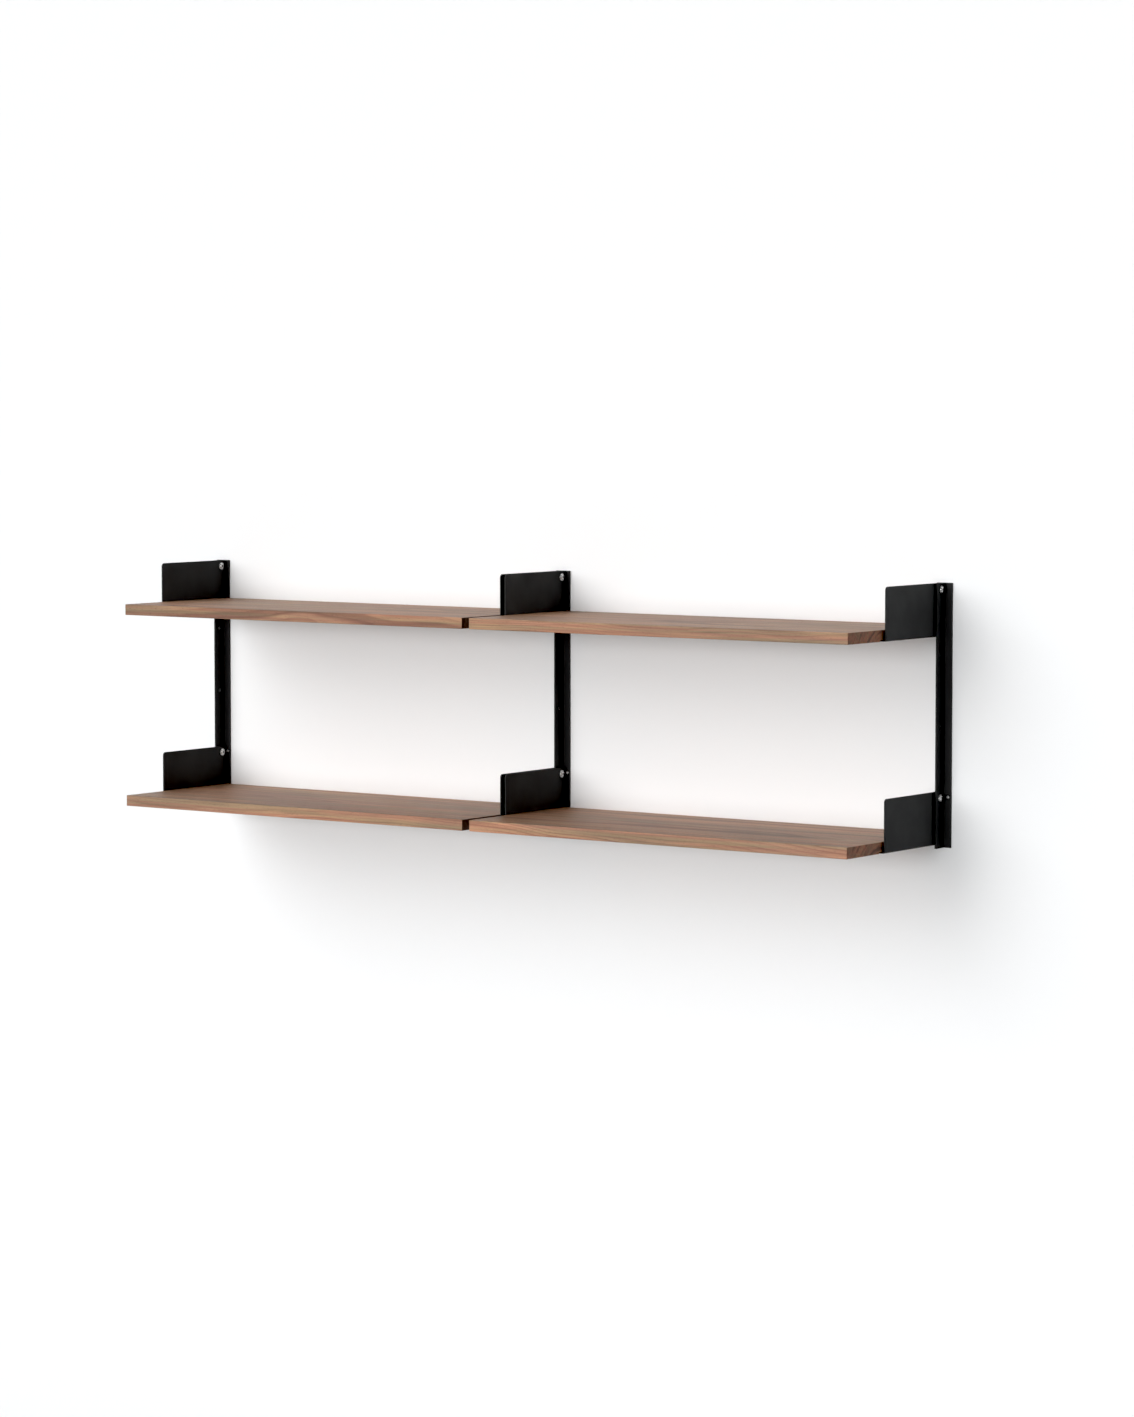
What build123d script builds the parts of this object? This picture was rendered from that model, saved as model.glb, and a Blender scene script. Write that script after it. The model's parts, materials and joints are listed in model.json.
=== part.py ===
from build123d import *
import os

# Wall shelf with brackets: two levels of two boards, carried by folded steel brackets
# that are bolted to three T-section uprights. Millimetres, +Z up, +X along the wall.
# The wall is the plane Y = 0 and the shelf stands out towards -Y. The origin is on the
# back of the centre upright, level with the tops of the lower boards.

# ---- driving dimensions -------------------------------------------------------------
run_length = 1597.4         # both boards of one level, with the gap between them
board_gap = 15.5            # between the two boards of one level
board_thickness = 20.0
board_edge_radius = 1.0
level_spacing = 360.0       # from one board top to the next
projection = 300.0          # wall to the front edge of the boards
hole_pitch = level_spacing / 3

sheet = 3.0                 # steel thickness of the uprights and brackets
coat_radius = 0.4           # rounding of the coated edges

flange_width = 30.0
profile_depth = 29.0
profile_root_radius = 1.2
upright_above_level = 73.0  # top of the upright above the upper board tops
upright_below_board = 5.0   # foot of the upright below the lower boards

plate_depth = 185.0         # bracket plate, along Y
plate_above_level = 73.0
plate_corner_radius = 6.5
foot_width = 30.0           # bracket foot, along X, measured over the plate
foot_corner_radius = 6.0
bend_radius = 1.2           # inside of the fold
spacer_thickness = 2.0
spacer_radius = 6.5
board_end_gap = 3.3         # between a board's end and the plate beside it
board_back_gap = 1.0        # between a board's back edge and the flanges

pocket_margin = 2.0         # pocket in a board's underside, wider than the foot by this
pocket_lead = 9.0           # and longer than the foot towards the front
pocket_corner_radius = 6.0

bolt_above_level = 62.0
bolt_from_wall = 16.0       # the middle of the web's depth
bolt_radius = 3.0
bolt_hole_radius = 3.25
bolt_flange_radius = 6.4
bolt_dome_radius = 5.1
bolt_flange_thickness = 1.1
bolt_head_height = 3.3
bolt_crown_radius = 2.65    # flat top of the dome
bolt_shoulder = (4.15, 2.7)  # radius and height halfway round the dome
bolt_end_chamfer = 0.6
bolt_past_nut = 1.0
socket_across_flats = 4.0
socket_depth = 2.1

nut_bore_radius = 3.05
nut_height = 6.0
nut_across_flats = 10.0
nut_flange_radius = 6.6
nut_flange_rim = 0.7         # thickness at its edge
nut_flange_thickness = 1.8   # and against the hexagon
nut_crown_chamfer = (1.05, 0.35)     # inwards and down

wall_screw_offset = 9.8     # sideways from the web's middle
wall_screw_above_bolt = 1.0
wall_screw_hole_radius = 2.5
wall_screw_shank_radius = 2.0
wall_screw_thread_radius = 2.25
wall_screw_shank_end = 5.0  # how far past the wall plane the plain shank reaches
wall_screw_thread_end = 41.0
wall_screw_tip_end = 47.0
wall_screw_head_radius = 3.0
wall_screw_head_height = 2.5
wall_screw_head_rounding = 1.3
wall_screw_recess = (3.2, 0.9)        # cross recess: arm length and width
wall_screw_recess_depth = 1.5

board_screw_offsets = (18.0, 92.0, 166.0)   # from the front end of the foot
board_screw_radius = 2.0
board_screw_hole_radius = 2.2
board_pilot_radius = 2.05
board_screw_head_radius = 3.8
board_screw_head_depth = 2.2
board_screw_sink_radius = 4.0
board_screw_thread_top = 11.5         # above the board's bottom face
board_screw_tip_top = 14.0
board_pilot_top = 14.5
board_screw_recess = (3.4, 0.9)
board_screw_recess_depth = 1.4

# ---- places worked out from them ----------------------------------------------------
half_web = sheet / 2
plate_near = half_web + spacer_thickness       # web middle to the plate's near face
plate_far = plate_near + sheet                 # web middle to the plate's far face
board_end = plate_far + board_end_gap          # web middle to the board's end
board_length = (run_length - board_gap) / 2
upright_x = {
    "left": -(run_length / 2 + board_end),
    "centre": 0.0,
    "right": run_length / 2 + board_end,
}
level_top = {"upper": level_spacing, "lower": 0.0}
upright_top = level_spacing + upright_above_level
upright_bottom = -board_thickness - upright_below_board
foot_front = -sheet - plate_depth

# which side of each upright its brackets stand on: +1 towards +X, -1 towards -X
bracket_sides = {"left": (1,), "centre": (-1, 1), "right": (-1,)}
side_name = {-1: "left", 1: "right"}

# directions that a turned part's head can face
FACING_RIGHT = Vector(1, 0, 0)
FACING_LEFT = Vector(-1, 0, 0)
FACING_ROOM = Vector(0, -1, 0)
FACING_DOWN = Vector(0, 0, -1)


def turning_plane(seat, outward, radial):
    """Sketch plane of a turned part: local X is the radius, local Y points outward."""
    return Plane(origin=seat, x_dir=radial, z_dir=radial.cross(outward))


def save(builder, label):
    """Label a finished sub-part and write its STEP file."""
    builder.part.label = label
    export_step(builder.part, f"parts/{label}.step")


def make_upright(name):
    """T-section upright with four bolt holes in the web and two screw holes in the flange."""
    x = upright_x[name]
    with BuildPart() as upright:
        with BuildSketch(Plane.XY.offset(upright_bottom)) as section:
            with Locations((x, -sheet / 2)):
                Rectangle(flange_width, sheet)
            with Locations((x, -profile_depth / 2)):
                Rectangle(sheet, profile_depth)
            roots = section.vertices().filter_by(
                lambda v: abs(v.Y + sheet) < 0.01 and abs(abs(v.X - x) - half_web) < 0.01
            )
            fillet(roots, profile_root_radius)
            corners = section.vertices().filter_by(
                lambda v: v.Y < -profile_depth + 0.01 or abs(abs(v.X - x) - flange_width / 2) < 0.01
            )
            fillet(corners, coat_radius)
        extrude(amount=upright_top - upright_bottom)
        hole_heights = [bolt_above_level + i * hole_pitch for i in range(4)]
        with Locations(*[Location((x, -bolt_from_wall, z), (0, 90, 0)) for z in hole_heights]):
            Hole(bolt_hole_radius)
        with Locations(*[Location((sx, -sheet, z), (90, 0, 0)) for sx, z in wall_screw_places(name)]):
            Hole(wall_screw_hole_radius)
    return upright


def wall_screw_places(name):
    """X and Z of an upright's two wall screws: upper on the left wing, lower on the right."""
    x = upright_x[name]
    return [
        (x - wall_screw_offset, level_top["upper"] + bolt_above_level + wall_screw_above_bolt),
        (x + wall_screw_offset, level_top["lower"] + bolt_above_level + wall_screw_above_bolt),
    ]


def make_bracket(upright_name, level, side):
    """Folded sheet bracket: a plate beside the web and a foot turned in under the board."""
    x = upright_x[upright_name]
    top = level_top[level]
    bottom = top - board_thickness
    near = x + side * plate_near
    far = x + side * plate_far
    foot_end = near + side * foot_width
    with BuildPart() as bracket:
        with BuildSketch(Plane.XZ.offset(sheet)) as fold:
            with BuildLine():
                Polyline(
                    (near, top + plate_above_level),
                    (near, bottom),
                    (foot_end, bottom),
                    (foot_end, bottom + sheet),
                    (far, bottom + sheet),
                    (far, top + plate_above_level),
                    close=True,
                )
            make_face()
            fillet(fold.vertices().sort_by_distance((near, bottom))[0], bend_radius + sheet)
            fillet(fold.vertices().sort_by_distance((far, bottom + sheet))[0], bend_radius)
        extrude(amount=plate_depth)
        fillet(
            bracket.edges().filter_by(Axis.X).group_by(Axis.Z)[-1].sort_by(Axis.Y)[0],
            plate_corner_radius,
        )
        foot_tips = bracket.edges().filter_by(Axis.Z).filter_by(
            lambda e: abs(e.center().X - foot_end) < 0.01
        )
        fillet(foot_tips, foot_corner_radius)
        fillet(bracket.edges(), coat_radius)
        with Locations(Location((x, -bolt_from_wall, top + bolt_above_level), (0, 90, 0))):
            Hole(bolt_hole_radius)
        screw_places = board_screw_places(upright_name, side)
        with Locations(*[Location((sx, sy, bottom), (180, 0, 0)) for sx, sy in screw_places]):
            CounterSinkHole(board_screw_hole_radius, board_screw_sink_radius, sheet)
    return bracket


def board_screw_places(upright_name, side):
    """X and Y of the three wood screws in a bracket's foot."""
    x = upright_x[upright_name] + side * (plate_near + foot_width / 2 + sheet / 2)
    return [(x, foot_front + offset) for offset in board_screw_offsets]


def make_board(level, half):
    """Walnut board with eased edges, a shallow pocket for each foot and its pilot holes."""
    top = level_top[level]
    bottom = top - board_thickness
    start = board_gap / 2 if half == 1 else -run_length / 2
    back = -sheet - board_back_gap
    front = -projection
    ends = (("centre", 1), ("right", -1)) if half == 1 else (("left", 1), ("centre", -1))
    with BuildPart() as board:
        with BuildSketch(Plane.XY.offset(bottom)):
            with Locations((start + board_length / 2, (front + back) / 2)):
                Rectangle(board_length, back - front)
        extrude(amount=board_thickness)
        fillet(board.edges(), board_edge_radius)
        for upright_name, side in ends:
            pocket_far = upright_x[upright_name] + side * (plate_near + foot_width + pocket_margin)
            pocket_near = upright_x[upright_name] + side * plate_near
            pocket_front = foot_front - pocket_lead
            with BuildSketch(Plane.XY.offset(bottom)) as pocket:
                with Locations(((pocket_far + pocket_near) / 2, pocket_front / 2)):
                    Rectangle(abs(pocket_far - pocket_near), -pocket_front)
                corner = pocket.vertices().sort_by_distance((pocket_far, pocket_front))[0]
                fillet(corner, pocket_corner_radius)
            extrude(amount=sheet, mode=Mode.SUBTRACT)
            with BuildSketch(Plane.XY.offset(bottom)):
                with Locations(*board_screw_places(upright_name, side)):
                    Circle(board_pilot_radius)
            extrude(amount=board_pilot_top, mode=Mode.SUBTRACT)
    return board


def make_bolt(upright_name, level):
    """M6 bolt with a flanged button head on the +X side and a hexagon socket."""
    x = upright_x[upright_name]
    sides = bracket_sides[upright_name]
    head_x = x + (plate_far if 1 in sides else half_web)
    nut_x = x - (plate_far if -1 in sides else half_web)
    shank = head_x - nut_x + nut_height + bolt_past_nut
    seat = Vector(head_x, -bolt_from_wall, level_top[level] + bolt_above_level)
    with BuildPart() as bolt:
        with BuildSketch(turning_plane(seat, FACING_RIGHT, Vector(0, 0, 1))):
            with BuildLine():
                Polyline(
                    (0, bolt_head_height),
                    (0, -shank),
                    (bolt_radius - bolt_end_chamfer, -shank),
                    (bolt_radius, -shank + bolt_end_chamfer),
                    (bolt_radius, 0),
                    (bolt_flange_radius, 0),
                    (bolt_flange_radius, bolt_flange_thickness),
                    (bolt_dome_radius, bolt_flange_thickness),
                )
                ThreePointArc(
                    (bolt_dome_radius, bolt_flange_thickness),
                    bolt_shoulder,
                    (bolt_crown_radius, bolt_head_height),
                )
                Line((bolt_crown_radius, bolt_head_height), (0, bolt_head_height))
            make_face()
        revolve(axis=Axis(seat, FACING_RIGHT))
        crown = Plane(origin=seat + FACING_RIGHT * bolt_head_height, z_dir=FACING_RIGHT)
        with BuildSketch(crown):
            RegularPolygon(socket_across_flats / 2, 6, major_radius=False)
        extrude(amount=-socket_depth, mode=Mode.SUBTRACT)
    return bolt


def make_nut(upright_name, level):
    """M6 flanged hexagon nut on the -X side."""
    x = upright_x[upright_name]
    nut_x = x - (plate_far if -1 in bracket_sides[upright_name] else half_web)
    seat = Vector(nut_x, -bolt_from_wall, level_top[level] + bolt_above_level)
    corner_radius = nut_across_flats / 3 ** 0.5
    with BuildPart() as nut:
        with BuildSketch(Plane(origin=seat, z_dir=FACING_LEFT)):
            RegularPolygon(nut_across_flats / 2, 6, major_radius=False)
        extrude(amount=nut_height)
        with BuildSketch(turning_plane(seat, FACING_LEFT, Vector(0, 0, 1))):
            with BuildLine():
                Polyline(
                    (0, 0),
                    (corner_radius, 0),
                    (corner_radius, nut_height - nut_crown_chamfer[1]),
                    (corner_radius - nut_crown_chamfer[0], nut_height),
                    (0, nut_height),
                    close=True,
                )
            make_face()
        revolve(axis=Axis(seat, FACING_LEFT), mode=Mode.INTERSECT)
        with BuildSketch(turning_plane(seat, FACING_LEFT, Vector(0, 0, 1))):
            with BuildLine():
                Polyline(
                    (0, 0),
                    (nut_flange_radius, 0),
                    (nut_flange_radius, nut_flange_rim),
                    (nut_across_flats / 2, nut_flange_thickness),
                    (0, nut_flange_thickness),
                    close=True,
                )
            make_face()
        revolve(axis=Axis(seat, FACING_LEFT))
        with BuildSketch(Plane(origin=seat, z_dir=FACING_LEFT)):
            Circle(nut_bore_radius)
        extrude(amount=nut_height, mode=Mode.SUBTRACT)
    return nut


def make_spacers(upright_name):
    """Rings that hold each bracket plate off the web, one to each plate and level."""
    x = upright_x[upright_name]
    with BuildPart() as spacers:
        for side in bracket_sides[upright_name]:
            near_face = Plane(origin=(x + side * half_web, 0, 0), x_dir=(0, 1, 0), z_dir=(1, 0, 0))
            with BuildSketch(near_face):
                for top in level_top.values():
                    with Locations((-bolt_from_wall, top + bolt_above_level)):
                        Circle(spacer_radius)
                        Circle(bolt_hole_radius, mode=Mode.SUBTRACT)
            extrude(amount=side * spacer_thickness)
    return spacers


def cross_recess(crown, size):
    """Outline of a screw head's cross recess, on its crown plane."""
    arm_length, arm_width = size
    with BuildSketch(crown) as recess:
        Rectangle(arm_length, arm_width)
        Rectangle(arm_width, arm_length)
    return recess.sketch


def make_wall_screws(upright_name):
    """Pan-head screws through the flange into the wall."""
    with BuildPart() as screws:
        for x, z in wall_screw_places(upright_name):
            seat = Vector(x, -sheet, z)
            reach = sheet + wall_screw_tip_end
            with BuildSketch(turning_plane(seat, FACING_ROOM, Vector(1, 0, 0))):
                with BuildLine():
                    Polyline(
                        (0, wall_screw_head_height),
                        (0, -reach),
                        (wall_screw_thread_radius, -sheet - wall_screw_thread_end),
                        (wall_screw_thread_radius, -sheet - wall_screw_shank_end),
                        (wall_screw_shank_radius, -sheet - wall_screw_shank_end),
                        (wall_screw_shank_radius, 0),
                        (wall_screw_head_radius, 0),
                        (wall_screw_head_radius, wall_screw_head_height - wall_screw_head_rounding),
                    )
                    RadiusArc(
                        (wall_screw_head_radius, wall_screw_head_height - wall_screw_head_rounding),
                        (wall_screw_head_radius - wall_screw_head_rounding, wall_screw_head_height),
                        -wall_screw_head_rounding,
                    )
                    Line(
                        (wall_screw_head_radius - wall_screw_head_rounding, wall_screw_head_height),
                        (0, wall_screw_head_height),
                    )
                make_face()
            revolve(axis=Axis(seat, FACING_ROOM))
            crown = Plane(origin=seat + FACING_ROOM * wall_screw_head_height, z_dir=FACING_ROOM)
            extrude(
                cross_recess(crown, wall_screw_recess),
                amount=-wall_screw_recess_depth,
                mode=Mode.SUBTRACT,
            )
    return screws


def make_board_screws(level, half):
    """Countersunk wood screws that hold one board down on its two feet."""
    bottom = level_top[level] - board_thickness
    ends = (("centre", 1), ("right", -1)) if half == 1 else (("left", 1), ("centre", -1))
    with BuildPart() as screws:
        for upright_name, side in ends:
            for x, y in board_screw_places(upright_name, side):
                seat = Vector(x, y, bottom)
                with BuildSketch(turning_plane(seat, FACING_DOWN, Vector(1, 0, 0))):
                    with BuildLine():
                        Polyline(
                            (0, 0),
                            (board_screw_head_radius, 0),
                            (board_screw_radius, -board_screw_head_depth),
                            (board_screw_radius, -board_screw_thread_top),
                            (0, -board_screw_tip_top),
                            close=True,
                        )
                    make_face()
                revolve(axis=Axis(seat, FACING_DOWN))
                extrude(
                    cross_recess(Plane(origin=seat, z_dir=FACING_DOWN), board_screw_recess),
                    amount=-board_screw_recess_depth,
                    mode=Mode.SUBTRACT,
                )
    return screws


os.makedirs("parts", exist_ok=True)

for upright_name in upright_x:
    save(make_upright(upright_name), f"upright_{upright_name}")
    save(make_spacers(upright_name), f"spacers_{upright_name}")
    save(make_wall_screws(upright_name), f"wall_screws_{upright_name}")

for level in level_top:
    for upright_name in upright_x:
        save(make_bolt(upright_name, level), f"bolt_{level}_{upright_name}")
        save(make_nut(upright_name, level), f"nut_{level}_{upright_name}")
        for side in bracket_sides[upright_name]:
            place = upright_name if upright_name != "centre" else f"centre_{side_name[side]}"
            save(make_bracket(upright_name, level, side), f"bracket_{level}_{place}")
    for half in side_name:
        save(make_board(level, half), f"board_{level}_{side_name[half]}")
        save(make_board_screws(level, half), f"board_screws_{level}_{side_name[half]}")
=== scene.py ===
import json
import math

import bmesh
import bpy
import numpy as np
from bpy.props import FloatProperty, FloatVectorProperty, IntProperty, PointerProperty
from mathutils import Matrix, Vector


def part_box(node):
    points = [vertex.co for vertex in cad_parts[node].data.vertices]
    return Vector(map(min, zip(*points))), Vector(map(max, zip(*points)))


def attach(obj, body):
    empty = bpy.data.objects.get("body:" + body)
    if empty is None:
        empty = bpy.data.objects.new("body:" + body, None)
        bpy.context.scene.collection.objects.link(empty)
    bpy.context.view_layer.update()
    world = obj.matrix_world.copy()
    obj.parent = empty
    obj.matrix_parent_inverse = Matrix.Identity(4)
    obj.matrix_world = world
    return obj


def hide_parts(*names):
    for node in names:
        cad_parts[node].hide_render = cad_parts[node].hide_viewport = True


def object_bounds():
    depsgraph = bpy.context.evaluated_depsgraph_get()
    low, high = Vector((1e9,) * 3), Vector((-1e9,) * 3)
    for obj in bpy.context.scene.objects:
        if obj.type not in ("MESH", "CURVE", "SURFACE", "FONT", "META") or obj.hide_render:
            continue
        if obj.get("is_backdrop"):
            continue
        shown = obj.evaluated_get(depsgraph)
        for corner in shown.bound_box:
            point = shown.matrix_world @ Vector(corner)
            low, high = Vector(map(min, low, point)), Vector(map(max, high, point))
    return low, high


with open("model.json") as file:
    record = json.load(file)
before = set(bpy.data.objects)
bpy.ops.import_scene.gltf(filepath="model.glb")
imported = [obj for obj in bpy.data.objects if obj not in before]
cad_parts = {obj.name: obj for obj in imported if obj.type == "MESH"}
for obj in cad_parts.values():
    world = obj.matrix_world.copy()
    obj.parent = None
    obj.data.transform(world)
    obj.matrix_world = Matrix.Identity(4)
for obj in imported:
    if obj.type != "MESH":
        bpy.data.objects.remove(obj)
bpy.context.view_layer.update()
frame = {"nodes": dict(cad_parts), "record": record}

bl_info = {
    "name": "Wall shelf finishes",
    "version": (1, 0, 0),
    "blender": (4, 5, 0),
    "location": "View3D > Sidebar > Shelf",
    "description": "Walnut, black coat, steel fasteners, screw threads and studio for a wall shelf",
    "category": "Object",
}

MILLIMETRE = 0.001
UPRIGHTS = ("left", "centre", "right")
LEVELS = ("upper", "lower")
TURNING_MARKS = 32000.0      # phase of the turning marks, in radians for each metre of radius
DEEPEST_SHADE = 0.015        # scene brightness that is shown as black


# ---- sizes and colours that a user would change ------------------------------------------

class WalnutFinish(bpy.types.PropertyGroup):
    """Colours and figure of the oiled walnut boards."""

    light: FloatVectorProperty(
        name="Early wood", description="Pale wood at the start of each year's growth",
        default=(0.345, 0.203, 0.122), subtype="COLOR", min=0.0, max=1.0)
    dark: FloatVectorProperty(
        name="Late wood", description="Darker line that closes each growth ring",
        default=(0.206, 0.102, 0.061), subtype="COLOR", min=0.0, max=1.0)
    streak: FloatVectorProperty(
        name="Streak", description="Cool dark streaks that run along the board",
        default=(0.135, 0.068, 0.045), subtype="COLOR", min=0.0, max=1.0)
    ring_spacing: FloatProperty(
        name="Ring spacing", description="Thickness of one year's growth",
        default=0.0036, min=0.001, max=0.02, precision=4, unit="LENGTH")
    pore_depth: FloatProperty(
        name="Pore depth", description="How deep the open pores are",
        default=0.00006, min=0.0, max=0.001, precision=5, unit="LENGTH")
    roughness: FloatProperty(
        name="Roughness", description="Gloss of the oiled face, from wet to matt",
        default=0.52, min=0.0, max=1.0, subtype="FACTOR")


class CoatFinish(bpy.types.PropertyGroup):
    """The black powder coat on the uprights and brackets."""

    colour: FloatVectorProperty(
        name="Coat colour", description="Black of the powder coat",
        default=(0.0085, 0.0085, 0.0088), subtype="COLOR", min=0.0, max=1.0)
    # lighter edge colour: part rubbed wear, part painted highlight on edges that catch the light
    edge_wear_highlight: FloatVectorProperty(
        name="Rubbed edge", description="Colour where an edge has been rubbed",
        default=(0.060, 0.059, 0.057), subtype="COLOR", min=0.0, max=1.0)
    grain: FloatProperty(
        name="Grain size", description="Size of the fine texture baked into the coat",
        default=0.0007, min=0.0001, max=0.005, precision=5, unit="LENGTH")
    peel: FloatProperty(
        name="Peel depth", description="Height of the coat's texture",
        default=0.000018, min=0.0, max=0.0005, precision=6, unit="LENGTH")
    roughness: FloatProperty(
        name="Roughness", description="Gloss of the coat, from wet to matt",
        default=0.60, min=0.0, max=1.0, subtype="FACTOR")
    # width of the lighter edge band, which is part wear and part painted highlight
    edge: FloatProperty(
        name="Edge width", description="How far in from an edge the rubbing reaches",
        default=0.0007, min=0.0, max=0.01, precision=5, unit="LENGTH")


class FastenerFinish(bpy.types.PropertyGroup):
    """Steel of the bolts, nuts and screws, and the thread of the wall screws."""

    bolt: FloatVectorProperty(
        name="Bolt steel", description="Colour of the bolts and nuts",
        default=(0.74, 0.74, 0.73), subtype="COLOR", min=0.0, max=1.0)
    zinc: FloatVectorProperty(
        name="Zinc", description="Colour of the plated screws",
        default=(0.68, 0.69, 0.70), subtype="COLOR", min=0.0, max=1.0)
    wall_screw: FloatVectorProperty(
        name="Wall screw", description="Colour of the dulled screws in the wall",
        default=(0.42, 0.42, 0.42), subtype="COLOR", min=0.0, max=1.0)
    nylon: FloatVectorProperty(
        name="Nylon", description="Colour of the spacer rings",
        default=(0.012, 0.012, 0.013), subtype="COLOR", min=0.0, max=1.0)
    roughness: FloatProperty(
        name="Roughness", description="Gloss of the steel, from polished to dull",
        default=0.27, min=0.0, max=1.0, subtype="FACTOR")
    pitch: FloatProperty(
        name="Thread pitch", description="Distance from one thread to the next",
        default=0.0018, min=0.0005, max=0.005, precision=4, unit="LENGTH")
    core: FloatProperty(
        name="Thread root", description="Share of the screw's radius left under the thread",
        default=0.68, min=0.4, max=0.95, subtype="FACTOR")
    turn_steps: IntProperty(
        name="Steps in a turn", description="Faces round a screw",
        default=36, min=12, max=96)


class StudioSettings(bpy.types.PropertyGroup):
    """Wall, floor, lights and camera."""

    azimuth: FloatProperty(
        name="Azimuth", description="How far round to the right the camera stands",
        default=math.radians(35.643), subtype="ANGLE")
    elevation: FloatProperty(
        name="Elevation", description="How far above the shelf's middle the camera stands",
        default=math.radians(4.301), subtype="ANGLE")
    distance: FloatProperty(
        name="Distance", description="From the camera to the point it looks at",
        default=7.950, min=1.0, unit="LENGTH")
    aim: FloatVectorProperty(
        name="Aim", description="Point that the camera looks at",
        default=(0.1145, -0.150, 0.1946), subtype="TRANSLATION", unit="LENGTH")
    lens: FloatProperty(
        name="Lens", description="Focal length on a 36 mm frame, in millimetres",
        default=112.96, min=10.0)
    key_power: FloatProperty(
        name="Key light", description="Strength of the soft light high on the left",
        default=2.08, min=0.0)
    front_power: FloatProperty(
        name="Front light", description="Strength of the level light in front",
        default=1.62, min=0.0)
    fill: FloatProperty(
        name="Fill light", description="Brightness of the room in front of the wall",
        default=0.08, min=0.0)
    back_fill: FloatProperty(
        name="Back fill", description="Light on the faces that lie against the wall",
        default=1.6, min=0.0)
    floor_drop: FloatProperty(
        name="Floor drop", description="From the lower boards' tops down to the floor",
        default=2.0, min=0.1, unit="LENGTH")


# ---- small helpers for node trees --------------------------------------------------------

def place(tree, kind, inputs=None, **settings):
    """Add a shader node. A socket given as an input is linked, anything else is its value."""
    made = tree.nodes.new("ShaderNode" + kind)
    for name, value in settings.items():
        setattr(made, name, value)
    for key, value in (inputs or {}).items():
        if isinstance(value, bpy.types.NodeSocket):
            tree.links.new(value, made.inputs[key])
        else:
            made.inputs[key].default_value = value
    return made


def maths(tree, operation, *values, clamp=False):
    """Output of a Math node on up to three values or sockets."""
    inputs = dict(enumerate(values))
    return place(tree, "Math", inputs, operation=operation, use_clamp=clamp).outputs[0]


def vector_maths(tree, operation, *values):
    """Vector output of a Vector Math node on two vectors or sockets."""
    return place(tree, "VectorMath", dict(enumerate(values)), operation=operation).outputs[0]


def ease(tree, value, low, high):
    """0 below low, 1 above high, with a smooth step between."""
    inputs = {"Value": value, "From Min": low, "From Max": high}
    return place(tree, "MapRange", inputs, interpolation_type="SMOOTHSTEP").outputs[0]


def spread(tree, value, low, high):
    """A 0 to 1 value laid out from low to high."""
    inputs = {"Value": value, "To Min": low, "To Max": high}
    return place(tree, "MapRange", inputs).outputs[0]


def noise(tree, vector, scale, detail=2.0, roughness=0.5):
    """Noise of a vector, 0 to 1, with its middle near 0.5."""
    inputs = {"Vector": vector, "Scale": scale, "Detail": detail, "Roughness": roughness}
    return place(tree, "TexNoise", inputs).outputs[0]


def mixed(tree, factor, first, second, blend="MIX"):
    """Colour between two colours or sockets by a factor."""
    made = place(tree, "Mix", {0: factor, 6: first, 7: second}, data_type="RGBA", blend_type=blend)
    return made.outputs[2]


def new_group(name, inputs, outputs):
    """Shader node group with named sockets. Returns its tree, its inputs and its output node."""
    tree = bpy.data.node_groups.new(name, "ShaderNodeTree")
    for label, kind, value in inputs:
        socket = tree.interface.new_socket(label, in_out="INPUT", socket_type="NodeSocket" + kind)
        if value is not None:
            socket.default_value = value
    for label, kind in outputs:
        tree.interface.new_socket(label, in_out="OUTPUT", socket_type="NodeSocket" + kind)
    entry = tree.nodes.new("NodeGroupInput")
    leave = tree.nodes.new("NodeGroupOutput")
    return tree, entry.outputs, leave


def use_group(tree, group, inputs):
    """Place a node group in a tree and give its inputs values or links. Returns its outputs."""
    made = tree.nodes.new("ShaderNodeGroup")
    made.node_tree = group
    for key, value in inputs.items():
        if isinstance(value, bpy.types.NodeSocket):
            tree.links.new(value, made.inputs[key])
        else:
            made.inputs[key].default_value = value
    return made.outputs


def shared_group(name, make):
    """The node group of that name, made the first time that it is asked for."""
    return bpy.data.node_groups.get(name) or make(name)


# ---- shared effects, as node groups ------------------------------------------------------

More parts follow.
